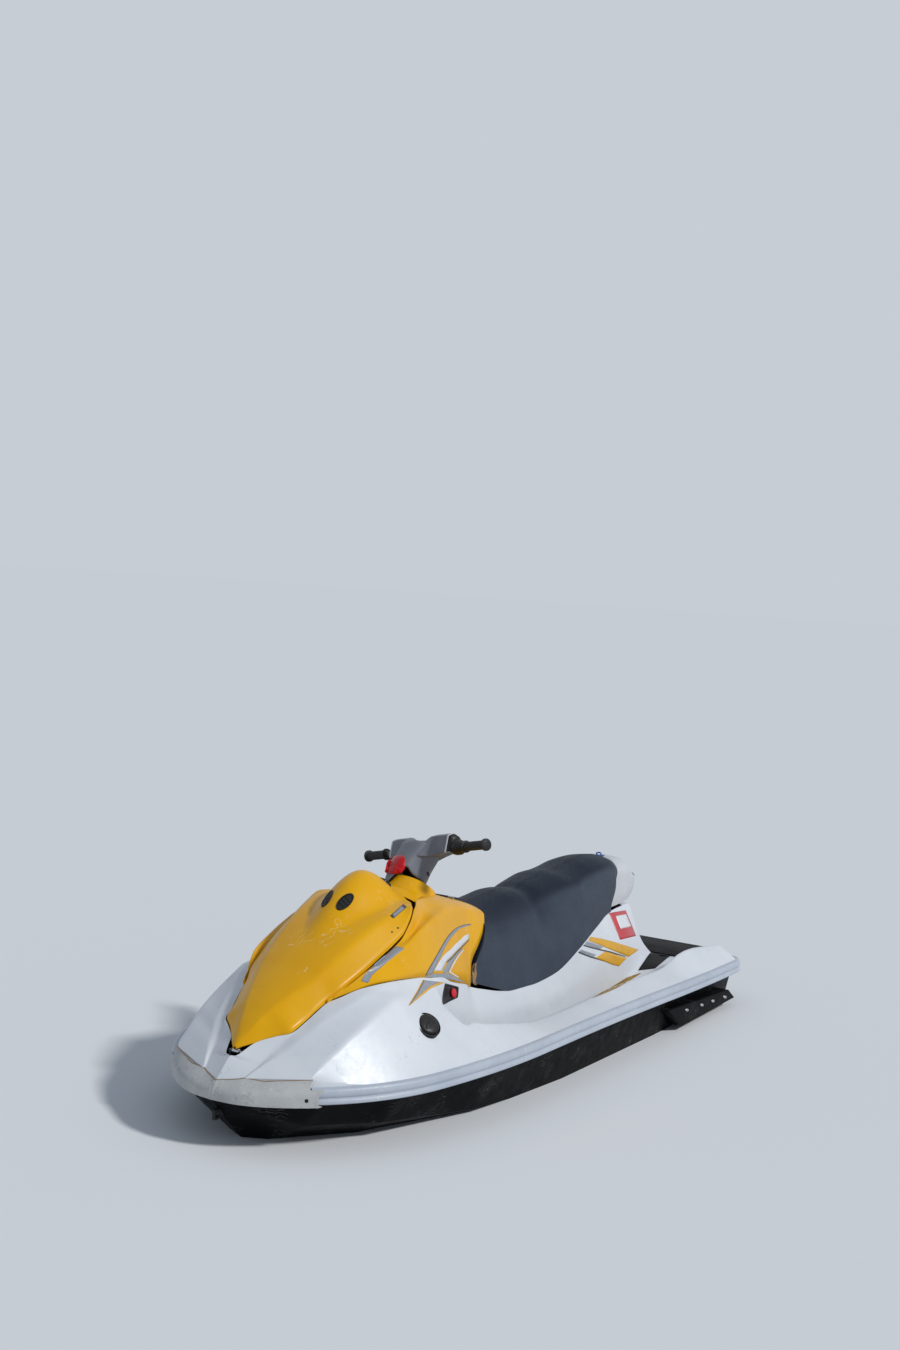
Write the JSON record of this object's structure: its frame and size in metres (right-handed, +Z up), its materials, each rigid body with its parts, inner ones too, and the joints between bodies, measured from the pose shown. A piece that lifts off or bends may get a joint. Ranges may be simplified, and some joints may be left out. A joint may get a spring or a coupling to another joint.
{
  "type": "personal watercraft",
  "caption": "Sit-down jet-drive personal watercraft with a vee hull, two-step saddle seat, turned handlebar steering a jet nozzle, opening hood, glovebox and bow bin.",
  "frame": {"origin": "on the centreline, midships, at the waterline that the craft floats at", "axes": "+X towards the bow, +Y to port, +Z up; the steering is stored turned to starboard as in the picture"},
  "size_m": [3.2276, 1.17, 1.1551],
  "materials": {
    "gelcoat_black": "gloss",
    "gelcoat_white": "gloss",
    "rail_rubber": "satin",
    "cover_rubber": "worn",
    "black_plastic": "moulded",
    "gelcoat_yellow": "gloss",
    "stainless": "brushed",
    "meter_glass": "gloss",
    "seat_vinyl": "satin",
    "grey_plastic": "moulded",
    "mat_foam": "textured",
    "red_plastic": "gloss",
    "dark_plastic": "moulded",
    "cast_alloy": "cast",
    "pod_grey": "moulded",
    "grip_rubber": "moulded"
  },
  "bodies": {
    "craft": {"hull": "gelcoat_black", "deck": "gelcoat_white", "gunwale_rails": "rail_rubber", "bow_cover": "cover_rubber", "stern_caps": "cover_rubber", "sponsons": "black_plastic", "cowl": "gelcoat_yellow", "hood_hinge": "stainless", "seat": "seat_vinyl", "rear_cover": "grey_plastic", "footwell_mats": "mat_foam", "platform_mat": "mat_foam", "filler_cap": "black_plastic", "choke_bezel": "black_plastic", "choke_knob": "red_plastic", "glovebox_hinge": "stainless", "engine_block": "cast_alloy", "pump_housing": "cast_alloy", "ride_plate": "black_plastic", "intake_grate": "cast_alloy", "bow_eye": "stainless", "stern_eyes": "stainless", "drain_plugs": "black_plastic", "exhaust_outlet": "black_plastic"},
    "steering": {"steering_column": "stainless", "handlebar": "stainless", "steering_pod": "pod_grey", "pod_patch": "red_plastic", "grips": "grip_rubber", "switch_box": "black_plastic", "throttle": "black_plastic"},
    "hood": {"hood": "gelcoat_yellow", "hood_vents": "black_plastic", "meter_panel": "meter_glass"},
    "glovebox": {"glovebox_lid": "dark_plastic"},
    "impeller": {"impeller": "stainless", "drive_shaft": "stainless"},
    "nozzle": {"steering_nozzle": "cast_alloy"}
  },
  "joints": [
    {"name": "steering_turn", "type": "hinge", "parent": "craft", "child": "steering", "pos_m": [0.41, 0, 0.775], "axis": [-0.5736, 0, 0.8192], "range_deg": [-1, 47]},
    {"name": "nozzle_turn", "type": "hinge", "parent": "craft", "child": "nozzle", "pos_m": [-1.452, 0, -0.098], "axis": [0, 0, 1], "range_deg": [-38, 2]},
    {"name": "impeller_spin", "type": "hinge", "parent": "craft", "child": "impeller", "pos_m": [-1.19, 0, -0.098], "axis": [1, 0, 0], "continuous": true},
    {"name": "hood_hinge_turn", "type": "hinge", "parent": "craft", "child": "hood", "pos_m": [1.486, 0, 0.304], "axis": [0, 1, 0], "range_deg": [0, 52]},
    {"name": "glovebox_hinge_turn", "type": "hinge", "parent": "craft", "child": "glovebox", "pos_m": [0.31192, 0, 0.66876], "axis": [0, 1, 0], "range_deg": [0, 55]}
  ],
  "couplings": [
    {"joint": "nozzle_turn", "follows": "steering_turn", "ratio": -0.78}
  ]
}
